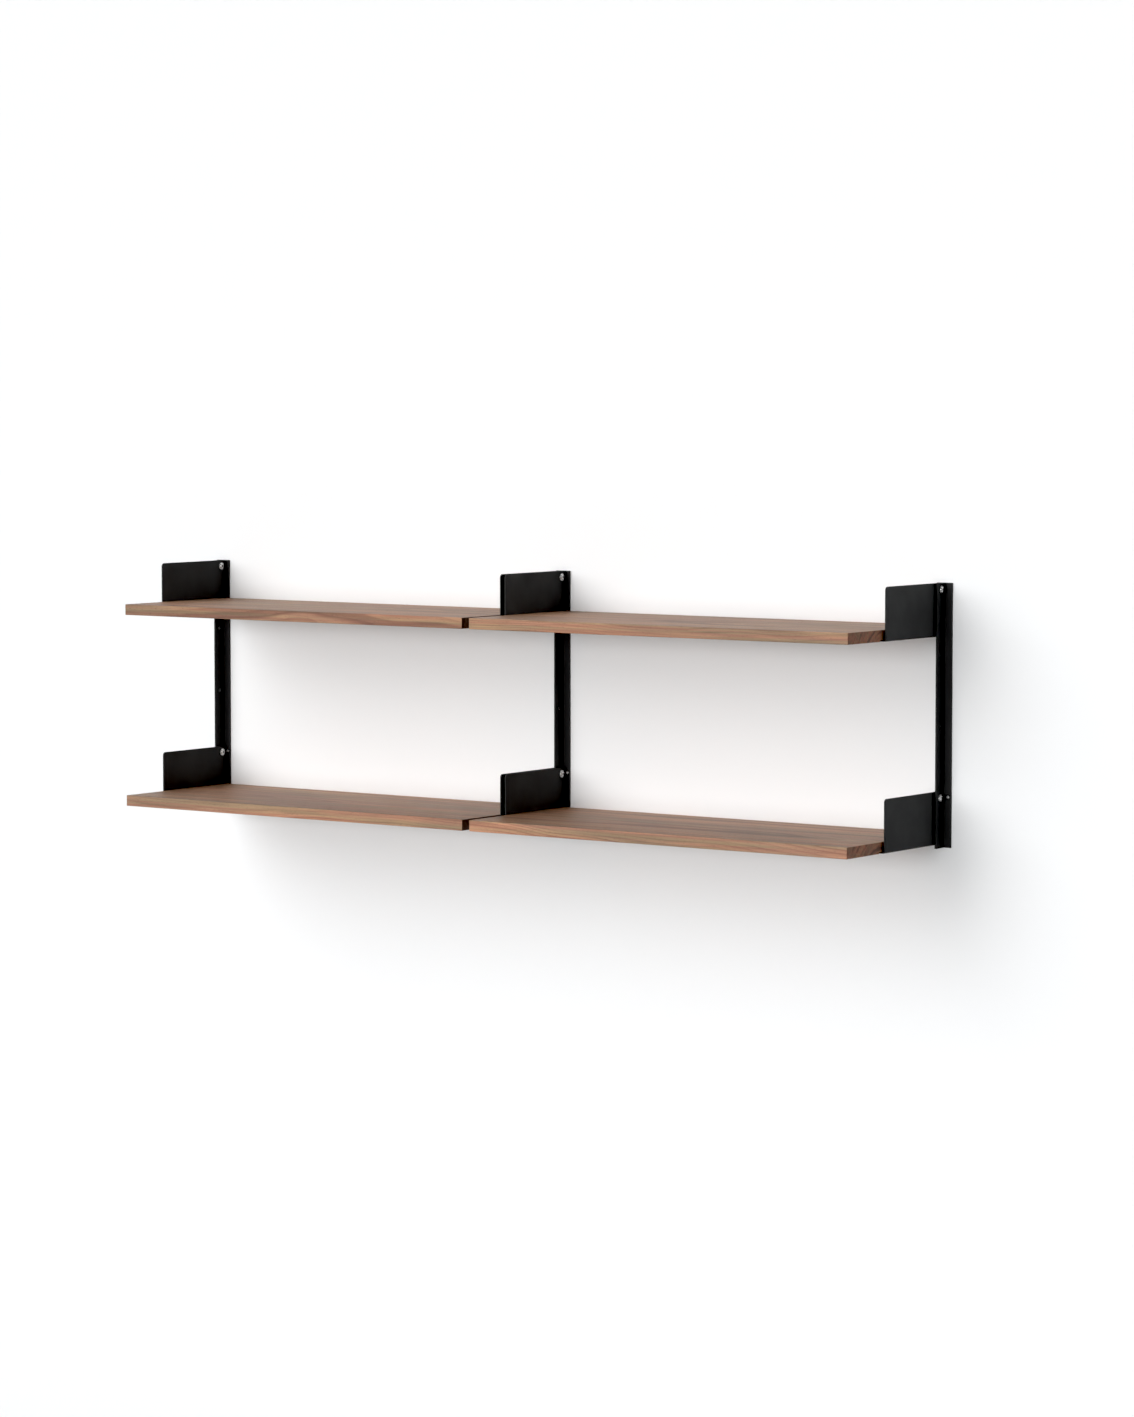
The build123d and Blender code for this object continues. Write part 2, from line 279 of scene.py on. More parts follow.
def make_timber_figure(name):
    """Growth rings, streaks, fibres and pores of a board sawn from a log along X.

    The rings are circles round the log's heart, a line almost along X: the radius in the YZ
    plane, bent by slow noise, divided by the ring spacing. The fraction left over is how far
    through one year's growth a point is. Pores are stretched cells, thick in the early wood.
    Streaks are part smears along the board and part runs of darker years, by noise of the
    year count, so on an end they follow the rings.
    """
    tree, given, leave = new_group(
        name,
        (("Vector", "Vector", None), ("Heart", "Vector", (0, 0, 0)), ("Seed", "Vector", (0, 0, 0)),
         ("Ring Spacing", "Float", 4.5), ("Lean Y", "Float", 0.01), ("Lean Z", "Float", 0.02)),
        (("Ring", "Float"), ("Streak", "Float"), ("Fibre", "Float"), ("Pore", "Float"),
         ("Tone", "Float"), ("Hue", "Float"), ("Fleck", "Float")))
    point = vector_maths(tree, "SCALE", given["Vector"])
    point.node.inputs["Scale"].default_value = 1 / MILLIMETRE
    seeded = vector_maths(tree, "ADD", point, given["Seed"])

    slow = vector_maths(tree, "MULTIPLY", seeded, (0.0018, 0.0085, 0.0085))
    bend = noise(tree, slow, 1.0, 2.0, 0.45)
    quick = vector_maths(tree, "MULTIPLY", seeded, (0.008, 0.060, 0.060))
    ripple = noise(tree, quick, 1.0, 2.0, 0.5)

    part = place(tree, "SeparateXYZ", {0: vector_maths(tree, "SUBTRACT", point, given["Heart"])})
    along = part.outputs[0]
    across = maths(tree, "ADD", part.outputs[1], maths(tree, "MULTIPLY", along, given["Lean Y"]))
    depth = maths(tree, "ADD", part.outputs[2], maths(tree, "MULTIPLY", along, given["Lean Z"]))
    squares = maths(tree, "ADD", maths(tree, "MULTIPLY", across, across),
                    maths(tree, "MULTIPLY", depth, depth))
    radius = maths(tree, "SQRT", squares)
    radius = maths(tree, "MULTIPLY_ADD", maths(tree, "SUBTRACT", bend, 0.5), 40.0, radius)
    radius = maths(tree, "MULTIPLY_ADD", maths(tree, "SUBTRACT", ripple, 0.5), 3.4, radius)
    years = maths(tree, "DIVIDE", radius, given["Ring Spacing"])
    phase = maths(tree, "FRACT", years)
    late = ease(tree, phase, 0.35, 0.93)
    close = ease(tree, phase, 1.0, 0.95)
    ring = maths(tree, "MULTIPLY", late, close)
    year = maths(tree, "FLOOR", years)
    strength = place(tree, "TexWhiteNoise", {"W": year}, noise_dimensions="1D").outputs[0]
    ring = maths(tree, "MULTIPLY", ring, spread(tree, strength, 0.35, 1.0))

    decade = maths(tree, "MULTIPLY", years, 0.30)
    era = place(tree, "TexNoise", {"W": decade, "Scale": 1.0, "Detail": 1.0},
                noise_dimensions="1D").outputs[0]
    band = vector_maths(tree, "MULTIPLY", seeded, (0.0013, 0.055, 0.055))
    smear = noise(tree, band, 1.0, 3.0, 0.62)
    both = maths(tree, "MULTIPLY_ADD", era, 0.6, maths(tree, "MULTIPLY", smear, 0.4))
    streak = ease(tree, both, 0.50, 0.66)
    thread = vector_maths(tree, "MULTIPLY", seeded, (0.022, 0.95, 0.95))
    fine = noise(tree, thread, 1.0, 4.0, 0.65)
    strand = vector_maths(tree, "MULTIPLY", seeded, (0.008, 0.26, 0.26))
    coarse = noise(tree, strand, 1.0, 3.0, 0.6)
    fibre = maths(tree, "MULTIPLY_ADD", coarse, 0.7, maths(tree, "MULTIPLY", fine, 0.3))

    cells = vector_maths(tree, "MULTIPLY", seeded, (0.075, 1.35, 1.35))
    cell = place(tree, "TexVoronoi", {"Vector": cells, "Scale": 1.0}, feature="F1").outputs[0]
    opening = spread(tree, phase, 0.27, 0.15)
    inner = maths(tree, "MULTIPLY", opening, 0.55)
    pore = place(tree, "MapRange", {"Value": cell, "From Min": opening, "From Max": inner},
                 interpolation_type="SMOOTHSTEP").outputs[0]

    wide = vector_maths(tree, "MULTIPLY", seeded, (0.0030, 0.022, 0.022))
    tone = ease(tree, noise(tree, wide, 1.0, 2.0, 0.5), 0.34, 0.66)
    layer = vector_maths(tree, "MULTIPLY", seeded, (0.0022, 0.17, 0.17))
    hue = ease(tree, noise(tree, layer, 1.0, 2.0, 0.55), 0.40, 0.62)
    ray = vector_maths(tree, "MULTIPLY", seeded, (0.10, 0.55, 2.4))
    fleck = ease(tree, noise(tree, ray, 1.0, 1.0, 0.4), 0.66, 0.80)

    for label, value in (("Ring", ring), ("Streak", streak), ("Fibre", fibre), ("Pore", pore),
                         ("Tone", tone), ("Hue", hue), ("Fleck", fleck)):
        tree.links.new(value, leave.inputs[label])
    return tree


def make_edge_wear_and_highlight(name):
    """Mask of the edges: how far a rounded-over normal leaves the true one, broken by noise."""
    tree, given, leave = new_group(
        name,
        (("Vector", "Vector", None), ("Width", "Float", 0.001), ("Patchiness", "Float", 60.0)),
        (("Mask", "Float"),))
    rounded = place(tree, "Bevel", {"Radius": given["Width"]}, samples=4).outputs[0]
    true = place(tree, "NewGeometry").outputs["Normal"]
    facing = place(tree, "VectorMath", {0: rounded, 1: true}, operation="DOT_PRODUCT").outputs["Value"]
    edge = ease(tree, facing, 0.985, 0.86)
    patches = ease(tree, noise(tree, given["Vector"], given["Patchiness"], 4.0, 0.6), 0.38, 0.62)
    mask = maths(tree, "MULTIPLY", edge, spread(tree, patches, 0.25, 1.0))
    tree.links.new(mask, leave.inputs["Mask"])
    return tree


def make_settled_dust(name):
    """Mask of the fine dust on faces that look up: the normal's Z, broken by noise."""
    tree, given, leave = new_group(
        name,
        (("Vector", "Vector", None), ("Amount", "Float", 0.2)),
        (("Mask", "Float"),))
    normal = place(tree, "NewGeometry").outputs["Normal"]
    upward = ease(tree, place(tree, "SeparateXYZ", {0: normal}).outputs[2], 0.35, 1.0)
    cloud = noise(tree, given["Vector"], 26.0, 5.0, 0.6)
    specks = ease(tree, noise(tree, given["Vector"], 900.0, 1.0, 0.5), 0.55, 0.75)
    broken = maths(tree, "MULTIPLY_ADD", specks, 0.35, ease(tree, cloud, 0.30, 0.75))
    mask = maths(tree, "MULTIPLY", maths(tree, "MULTIPLY", upward, broken), given["Amount"])
    tree.links.new(mask, leave.inputs["Mask"])
    return tree


def make_coat_texture(name):
    """Powder coat: fine baked grain on a slow orange peel, as a height, and a gloss mask."""
    tree, given, leave = new_group(
        name,
        (("Vector", "Vector", None), ("Grain", "Float", 0.0007)),
        (("Height", "Float"), ("Gloss", "Float"), ("Speckle", "Float")))
    frequency = maths(tree, "DIVIDE", 1.0, given["Grain"])
    grain = noise(tree, given["Vector"], frequency, 2.0, 0.55)
    peel = noise(tree, given["Vector"], maths(tree, "MULTIPLY", frequency, 0.22), 1.0, 0.4)
    height = maths(tree, "MULTIPLY_ADD", peel, 0.9, maths(tree, "MULTIPLY", grain, 0.75))
    smudge = noise(tree, given["Vector"], 14.0, 4.0, 0.55)
    gloss = ease(tree, smudge, 0.30, 0.72)
    tree.links.new(height, leave.inputs["Height"])
    tree.links.new(gloss, leave.inputs["Gloss"])
    tree.links.new(ease(tree, grain, 0.50, 0.78), leave.inputs["Speckle"])
    return tree


def make_turned_steel(name):
    """Turned and plated steel: rings round a bolt's axis, fine scratches, plating blooms and a mask of the
    socket recess for painted shade.

    The bolts lie along X at one height on every level, so the radius is measured from the
    nearest level's axis: Z less the axis height, folded by the level spacing.
    """
    tree, given, leave = new_group(
        name,
        (("Vector", "Vector", None), ("Axis", "Vector", (0, 0, 0)), ("Level Spacing", "Float", 0.36),
         ("Socket Radius", "Float", 0.0023)),
        (("Height", "Float"), ("Bloom", "Float"), ("Scratch", "Float"), ("Socket", "Float")))
    part = place(tree, "SeparateXYZ", {0: vector_maths(tree, "SUBTRACT", given["Vector"], given["Axis"])})
    half = maths(tree, "MULTIPLY", given["Level Spacing"], 0.5)
    rise = maths(tree, "WRAP", part.outputs[2], half, maths(tree, "MULTIPLY", half, -1.0))
    squares = maths(tree, "ADD", maths(tree, "MULTIPLY", part.outputs[1], part.outputs[1]),
                    maths(tree, "MULTIPLY", rise, rise))
    radius = maths(tree, "SQRT", squares)
    rings = maths(tree, "SINE", maths(tree, "MULTIPLY", radius, TURNING_MARKS))
    # mask of the socket recess in a bolt head, where the material paints shade
    outer = maths(tree, "MULTIPLY", given["Socket Radius"], 1.03)
    inside = maths(tree, "LESS_THAN", radius, outer)
    turned = place(tree, "SeparateXYZ", {0: place(tree, "NewGeometry").outputs["Normal"]}).outputs[0]
    socket = maths(tree, "MULTIPLY", inside, maths(tree, "GREATER_THAN", turned, -0.9))
    scratch = ease(tree, noise(tree, given["Vector"], 2600.0, 3.0, 0.7), 0.55, 0.80)
    bloom = ease(tree, noise(tree, given["Vector"], 420.0, 3.0, 0.6), 0.35, 0.70)
    height = maths(tree, "MULTIPLY_ADD", rings, 0.35, scratch)
    for label, value in (("Height", height), ("Bloom", bloom), ("Scratch", scratch),
                         ("Socket", socket)):
        tree.links.new(value, leave.inputs[label])
    return tree


# ---- materials ---------------------------------------------------------------------------

def new_material(name):
    """Empty node material with a Principled shader. Returns it, its tree and the shader."""
    material = bpy.data.materials.new(name)
    material.use_nodes = True
    tree = material.node_tree
    tree.nodes.clear()
    shader = place(tree, "BsdfPrincipled")
    ending = place(tree, "OutputMaterial")
    tree.links.new(shader.outputs[0], ending.inputs["Surface"])
    return material, tree, shader


def set_bump(tree, shader, height, depth):
    """Feed a 0 to 1 height, worth depth metres, to the shader's normal."""
    bump = place(tree, "Bump", {"Height": height, "Strength": 1.0, "Distance": depth})
    tree.links.new(bump.outputs[0], shader.inputs["Normal"])


def coloured(colour):
    """Colour with alpha, as a colour socket wants it."""
    return (*colour, 1.0)


def walnut(name, finish, heart, seed, lean, painted_brightness):
    """Oiled walnut for one board: its own place in the log, and darker, drier end grain. The ends at the
    middle gap get painted shade, and each board's brightness factor is painted light.

    Tints multiply the wood's colour; the others are laid over it by a mask.
    """
    redder, greener = (1.08, 0.90, 0.90, 1.0), (0.95, 1.06, 0.98, 1.0)
    duller, brighter = (0.84, 0.87, 0.92, 1.0), (1.16, 1.13, 1.09, 1.0)
    end_tint, end_streak = (0.66, 0.53, 0.49, 1.0), (0.045, 0.020, 0.014, 1.0)
    ray_fleck, pore_shade = (0.46, 0.31, 0.20, 1.0), (0.060, 0.030, 0.018, 1.0)
    # the first colour is painted shade for the board ends in the middle gap; the second is the colour of
    # rubbed edges
    gap_shade_colour, bare_edge = (0.022, 0.007, 0.004, 1.0), (0.50, 0.33, 0.215, 1.0)
    material, tree, shader = new_material(name)
    place_in_wood = place(tree, "TexCoord").outputs["Object"]
    figure = use_group(tree, shared_group("timber_figure", make_timber_figure), {
        "Vector": place_in_wood, "Heart": heart, "Seed": seed,
        "Ring Spacing": finish.ring_spacing / MILLIMETRE, "Lean Y": lean[0], "Lean Z": lean[1]})
    colour = mixed(tree, figure["Ring"], coloured(finish.light), coloured(finish.dark))
    veil = maths(tree, "MULTIPLY", figure["Streak"], 0.62)
    colour = mixed(tree, veil, colour, coloured(finish.streak))
    shift = mixed(tree, figure["Hue"], redder, greener)
    colour = mixed(tree, 1.0, colour, shift, "MULTIPLY")
    cloud = mixed(tree, figure["Tone"], duller, brighter)
    colour = mixed(tree, 1.0, colour, cloud, "MULTIPLY")
    # painted light: the board's brightness factor scales its colour here; the lower boards are lighter to
    # offset the shade of the upper boards, and the upper ones a little darker
    hair = spread(tree, figure["Fibre"], 0.28 * painted_brightness, 1.72 * painted_brightness)
    grey = place(tree, "CombineColor", {0: hair, 1: hair, 2: hair}).outputs[0]
    colour = mixed(tree, 1.0, colour, grey, "MULTIPLY")
    colour = mixed(tree, maths(tree, "MULTIPLY", figure["Fleck"], 0.16), colour, ray_fleck)
    colour = mixed(tree, maths(tree, "MULTIPLY", figure["Pore"], 0.72), colour, pore_shade)

    normal = place(tree, "NewGeometry").outputs["Normal"]
    endwise = maths(tree, "ABSOLUTE", place(tree, "SeparateXYZ", {0: normal}).outputs[0])
    end_grain = ease(tree, endwise, 0.55, 0.9)
    soaked = mixed(tree, 1.0, colour, end_tint, "MULTIPLY")
    soaked = mixed(tree, maths(tree, "MULTIPLY", figure["Streak"], 0.55), soaked, end_streak)
    # painted shade: the ends that meet in the middle of a level are painted darker still, standing in for the
    # shade in the narrow gap between them
    sideways = maths(tree, "ABSOLUTE", place(tree, "SeparateXYZ", {0: place_in_wood}).outputs[0])
    gap_shade_mask = maths(tree, "MULTIPLY", ease(tree, sideways, 0.030, 0.012), 0.72)
    soaked = mixed(tree, gap_shade_mask, soaked, gap_shade_colour)
    colour = mixed(tree, end_grain, colour, soaked)

    edge_wear_light = use_group(tree, shared_group("edge_wear_and_highlight", make_edge_wear_and_highlight), {
        "Vector": place_in_wood, "Width": 1.2 * MILLIMETRE, "Patchiness": 35.0})
    colour = mixed(tree, maths(tree, "MULTIPLY", edge_wear_light["Mask"], 0.10), colour, bare_edge)
    tree.links.new(colour, shader.inputs["Base Color"])

    sheen = spread(tree, figure["Fibre"], finish.roughness - 0.07, finish.roughness + 0.09)
    dry = maths(tree, "MULTIPLY_ADD", end_grain, 0.16, sheen)
    tree.links.new(maths(tree, "MULTIPLY_ADD", figure["Pore"], 0.15, dry, clamp=True),
                   shader.inputs["Roughness"])
    raised = maths(tree, "MULTIPLY_ADD", figure["Fibre"], 0.28, maths(tree, "MULTIPLY", figure["Ring"], 0.10))
    height = maths(tree, "SUBTRACT", raised, figure["Pore"])
    set_bump(tree, shader, height, finish.pore_depth)
    return material


def black_coat(name, finish):
    """Satin black powder coat with a fine grain, lighter edges that are part rubbed wear and part painted
    highlight, and a trace of dust.
    """
    material, tree, shader = new_material(name)
    point = place(tree, "TexCoord").outputs["Object"]
    texture = use_group(tree, shared_group("coat_texture", make_coat_texture), {
        "Vector": point, "Grain": finish.grain})
    edge_wear_light = use_group(tree, shared_group("edge_wear_and_highlight", make_edge_wear_and_highlight), {
        "Vector": point, "Width": finish.edge, "Patchiness": 90.0})
    dust = use_group(tree, shared_group("settled_dust", make_settled_dust), {
        "Vector": point, "Amount": 0.10})
    lifted = tuple(min(1.0, part * 1.8) for part in finish.colour)
    colour = mixed(tree, maths(tree, "MULTIPLY", texture["Speckle"], 0.5),
                   coloured(finish.colour), coloured(lifted))
    # edges lightened: part rubbed wear, part painted highlight where edges catch the light
    colour = mixed(tree, maths(tree, "MULTIPLY", edge_wear_light["Mask"], 0.55), colour, coloured(finish.edge_wear_highlight))
    colour = mixed(tree, dust["Mask"], colour, (0.34, 0.32, 0.30, 1.0))
    tree.links.new(colour, shader.inputs["Base Color"])
    gloss = spread(tree, texture["Gloss"], finish.roughness - 0.03, finish.roughness + 0.06)
    gloss = maths(tree, "MULTIPLY_ADD", edge_wear_light["Mask"], -0.06, gloss)
    tree.links.new(maths(tree, "MULTIPLY_ADD", dust["Mask"], 0.8, gloss, clamp=True),
                   shader.inputs["Roughness"])
    shader.inputs["Specular IOR Level"].default_value = 0.38
    set_bump(tree, shader, texture["Height"], finish.peel)
    return material


def plated_steel(name, finish, colour, axis, level_spacing):
    """Bright plated steel with turning marks, blooms in the plating, fine scratches and painted shade in the
    bolts' sockets.
    """
    material, tree, shader = new_material(name)
    point = place(tree, "TexCoord").outputs["Object"]
    marks = use_group(tree, shared_group("turned_steel", make_turned_steel), {
        "Vector": point, "Axis": axis, "Level Spacing": level_spacing})
    edge_wear_light = use_group(tree, shared_group("edge_wear_and_highlight", make_edge_wear_and_highlight), {
        "Vector": point, "Width": 0.35 * MILLIMETRE, "Patchiness": 400.0})
    dulled = tuple(part * 0.72 for part in colour)
    shade = mixed(tree, maths(tree, "MULTIPLY", marks["Bloom"], 0.6), coloured(colour), coloured(dulled))
    shade = mixed(tree, maths(tree, "MULTIPLY", edge_wear_light["Mask"], 0.5), shade, (0.80, 0.79, 0.77, 1.0))
    # painted shade: the socket recess in each bolt head is painted near black
    shade = mixed(tree, maths(tree, "MULTIPLY", marks["Socket"], 0.80), shade, (0.012, 0.012, 0.012, 1.0))
    tree.links.new(shade, shader.inputs["Base Color"])
    shader.inputs["Metallic"].default_value = 1.0
    gloss = spread(tree, marks["Bloom"], finish.roughness - 0.05, finish.roughness + 0.10)
    tree.links.new(maths(tree, "MULTIPLY_ADD", marks["Scratch"], 0.12, gloss, clamp=True),
                   shader.inputs["Roughness"])
    set_bump(tree, shader, marks["Height"], 0.004 * MILLIMETRE)
    return material


def black_nylon(name, finish):
    """Moulded black nylon with a soft eggshell bump."""
    material, tree, shader = new_material(name)
    point = place(tree, "TexCoord").outputs["Object"]
    texture = use_group(tree, shared_group("coat_texture", make_coat_texture), {
        "Vector": point, "Grain": 0.4 * MILLIMETRE})
    lifted = tuple(min(1.0, part * 2.0) for part in finish.nylon)
    shade = mixed(tree, texture["Speckle"], coloured(finish.nylon), coloured(lifted))
    tree.links.new(shade, shader.inputs["Base Color"])
    tree.links.new(spread(tree, texture["Gloss"], 0.42, 0.58), shader.inputs["Roughness"])
    set_bump(tree, shader, texture["Height"], 0.01 * MILLIMETRE)
    return material


def stage_paint(name, shade, grain, depth, glow):
    """Matt paint for the stage, seen from its front only: its back lets the view through."""
    material = bpy.data.materials.new(name)
    material.use_nodes = True
    tree = material.node_tree
    tree.nodes.clear()
    point = place(tree, "TexCoord").outputs["Object"]
    rolled = noise(tree, point, grain, 4.0, 0.6)
    bump = place(tree, "Bump", {"Height": rolled, "Strength": 1.0, "Distance": depth})
    paint = place(tree, "BsdfDiffuse", {"Color": coloured(shade), "Normal": bump.outputs[0]})
    seen = place(tree, "LightPath").outputs["Is Camera Ray"]
    lift = place(tree, "Emission", {"Strength": maths(tree, "MULTIPLY", seen, glow)})
    lifted = place(tree, "AddShader", {0: paint.outputs[0], 1: lift.outputs[0]})
    clear = place(tree, "BsdfTransparent")
    behind = place(tree, "NewGeometry").outputs["Backfacing"]
    facing = place(tree, "MixShader", {0: behind, 1: lifted.outputs[0], 2: clear.outputs[0]})
    ending = place(tree, "OutputMaterial")
    tree.links.new(facing.outputs[0], ending.inputs["Surface"])
    return material


def dress(node, material):
    """Give a CAD node its finish, in every material slot that it has."""
    shown = frame["nodes"][node]
    if not shown.material_slots:
        shown.data.materials.append(material)
    for slot in shown.material_slots:
        slot.material = material


# ---- surfaces ----------------------------------------------------------------------------

def grid_faces(rows, columns, closed):
    """Quads of a grid of points, rows by columns, as one array. A closed grid joins its rows' ends."""
    row, column = np.meshgrid(np.arange(rows - 1), np.arange(columns - (not closed)), indexing="ij")
    following = (column + 1) % columns
    corners = (row * columns + column, row * columns + following,
               (row + 1) * columns + following, (row + 1) * columns + column)
    return np.stack([corner.ravel() for corner in corners], axis=1)


def mesh_object(name, points, faces, material):
    """Smooth mesh object from arrays of points and quads, poles welded. It stands at the origin."""
    mesh = bpy.data.meshes.new(name)
    mesh.vertices.add(len(points))
    mesh.vertices.foreach_set("co", points.astype(np.float32).ravel())
    mesh.loops.add(faces.size)
    mesh.loops.foreach_set("vertex_index", faces.astype(np.int32).ravel())
    mesh.polygons.add(len(faces))
    mesh.polygons.foreach_set("loop_start", np.arange(len(faces), dtype=np.int32) * faces.shape[1])
    mesh.update(calc_edges=True)
    bulk = bmesh.new()
    bulk.from_mesh(mesh)
    bmesh.ops.remove_doubles(bulk, verts=bulk.verts, dist=0.0005 * MILLIMETRE)
    bulk.to_mesh(mesh)
    bulk.free()
    mesh.shade_smooth()
    mesh.materials.append(material)
    made = bpy.data.objects.new(name, mesh)
    bpy.context.scene.collection.objects.link(made)
    return made


def threaded_shank(reach, tip, shank_radius, shank_end, major, core, pitch, steps):
    """Shank and thread of a wood screw along +Y, from 0 to reach plus tip.

    Radius at a turn angle a and a distance y: the core, plus a ridge whose crest winds once
    round in each pitch. The ridge's height falls off as the eighth power of a cosine of the
    distance to the crest, fades in where the plain shank ends, and shrinks with the core
    to a point over the tip.
    """
    length = reach + tip
    rows = int(length / pitch * 14)
    y = np.linspace(0.0, length, rows)[:, None]
    angle = np.linspace(0.0, 2 * math.pi, steps, endpoint=False)[None, :]
    crest = np.abs(np.cos(math.pi * (y / pitch - angle / (2 * math.pi)))) ** 8
    started = np.clip((y - shank_end) / pitch, 0.0, 1.0)
    narrowing = np.clip((length - y) / tip, 0.0, 1.0) ** 0.8
    body = shank_radius + (core - shank_radius) * started
    radius = (body + (major - core) * crest * started) * narrowing
    turned = np.stack(np.broadcast_arrays(radius * np.cos(angle), y, radius * np.sin(angle)), axis=-1)
    return np.concatenate([np.zeros((1, steps, 3)), turned])


def recessed_head(radius, height, rounding, recess, steps):
    """Pan head of a screw facing -Y, from its underside's edge round to the cross recess.

    A profile runs from the seat up the side, over a quarter-round shoulder and in to the
    middle. The crown is then pushed down inside a cross: depth times a smooth box across
    each arm, taken at its larger, and both tapering towards the arms' ends.
    """
    arm, width, depth = recess
    corner = np.linspace(0.0, math.pi / 2, 9)
    side = np.array([[0.0, 0.0], [radius, 0.0]])
    shoulder = np.stack([radius - rounding * (1 - np.cos(corner)),
                         height - rounding * (1 - np.sin(corner))], axis=1)
    flat = np.linspace(radius - rounding, 0.0, 34)[1:]
    crown = np.stack([flat, np.full_like(flat, height)], axis=1)
    profile = np.concatenate([side, shoulder, crown])
    angle = np.linspace(0.0, 2 * math.pi, steps, endpoint=False)[None, :]
    r = profile[:, 0][:, None]
    x, z = r * np.cos(angle), r * np.sin(angle)

    def slot(along, across):
        inside = np.clip((arm / 2 - np.abs(along)) / (arm * 0.18), 0.0, 1.0)
        return inside * np.clip((width / 2 - np.abs(across)) / (width * 0.22), 0.0, 1.0)

    on_crown = (profile[:, 1] >= height - 1e-9)[:, None]
    pressed = depth * np.maximum(slot(x, z), slot(z, x)) * on_crown
    rise = profile[:, 1][:, None] - pressed
    return np.stack(np.broadcast_arrays(x, -rise, z), axis=-1)


def wall_screw_pair(name, places, sizes, finish, material):
    """Both screws of an upright as one mesh: heads against the flange, points in the wall."""
    steps = finish.turn_steps
    shank = threaded_shank(
        sizes["reach"], sizes["tip"], sizes["shank_radius"], sizes["shank_end"],
        sizes["thread_radius"], sizes["thread_radius"] * finish.core, finish.pitch, steps)
    head_steps = steps * 3
    head = recessed_head(sizes["head_radius"], sizes["head_height"], sizes["rounding"],
                         sizes["recess"], head_steps)
    points, faces, count = [], [], 0
    for x, y, z in places:
        for surface, columns, flipped in ((shank, steps, True), (head, head_steps, True)):
            rows = surface.shape[0]
            points.append(surface.reshape(-1, 3) + (x, y, z))
            quads = grid_faces(rows, columns, closed=True) + count
            faces.append(quads[:, ::-1] if flipped else quads)
            count += rows * columns
    return mesh_object(name, np.concatenate(points), np.concatenate(faces), material)


# ---- operators: one for each group of pieces ---------------------------------------------

class SHELF_OT_boards(bpy.types.Operator):
    """Finish the four boards in walnut, each from its own part of the log"""

    bl_idname = "shelf.boards"
    bl_label = "Finish the boards"

    def execute(self, context):
        finish = context.scene.shelf_walnut
        # how each board was sawn: the heart's place from the board's middle in mm, its lean
        # to the board's length, and a brightness factor that is painted light: the lower boards are made
        # lighter to make up for the upper boards' shade
        sawn = {
            "board_upper_left": ((0.0, 30.0, -62.0), (0.012, 0.020), 0.97),
            "board_upper_right": ((60.0, -18.0, -75.0), (-0.016, -0.024), 0.97),
            "board_lower_left": ((-40.0, -20.0, 74.0), (0.015, -0.018), 1.08),
            "board_lower_right": ((90.0, -30.0, -84.0), (-0.010, 0.026), 1.08),
        }
        for index, (node, (offset, lean, painted_brightness)) in enumerate(sawn.items()):
            low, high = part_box(node)
            middle = (low + high) / 2 / MILLIMETRE
            heart = middle + Vector(offset)
            seed = (index * 3170.0, index * 911.0, index * 457.0)
            dress(node, walnut("walnut_" + node, finish, heart, seed, lean, painted_brightness))
        return {"FINISHED"}


class SHELF_OT_steelwork(bpy.types.Operator):
    """Finish the uprights and brackets in black powder coat"""

    bl_idname = "shelf.steelwork"
    bl_label = "Finish the steelwork"

    def execute(self, context):
        coat = black_coat("black_powder_coat", context.scene.shelf_coat)
        for node in frame["nodes"]:
            if node.startswith(("upright_", "bracket_")):
                dress(node, coat)
        return {"FINISHED"}


class SHELF_OT_fasteners(bpy.types.Operator):
    """Finish the bolts, nuts, spacers and board screws"""

    bl_idname = "shelf.fasteners"
    bl_label = "Finish the fasteners"

    def execute(self, context):
        finish = context.scene.shelf_fasteners
        upper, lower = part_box("bolt_upper_centre"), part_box("bolt_lower_centre")
        axis = (lower[0] + lower[1]) / 2
        spacing = upper[0].z - lower[0].z
        steel = plated_steel("bright_bolt_steel", finish, finish.bolt, axis, spacing)
        zinc = plated_steel("zinc_plate", finish, finish.zinc, axis, spacing)
        dull = plated_steel("dull_zinc_plate", finish, finish.wall_screw, axis, spacing)
        nylon = black_nylon("black_nylon", finish)
        for node in frame["nodes"]:
            if node.startswith(("bolt_", "nut_")):
                dress(node, steel)
            elif node.startswith("board_screws_"):
                dress(node, zinc)
            elif node.startswith("wall_screws_"):
                dress(node, dull)
            elif node.startswith("spacers_"):
                dress(node, nylon)
        return {"FINISHED"}


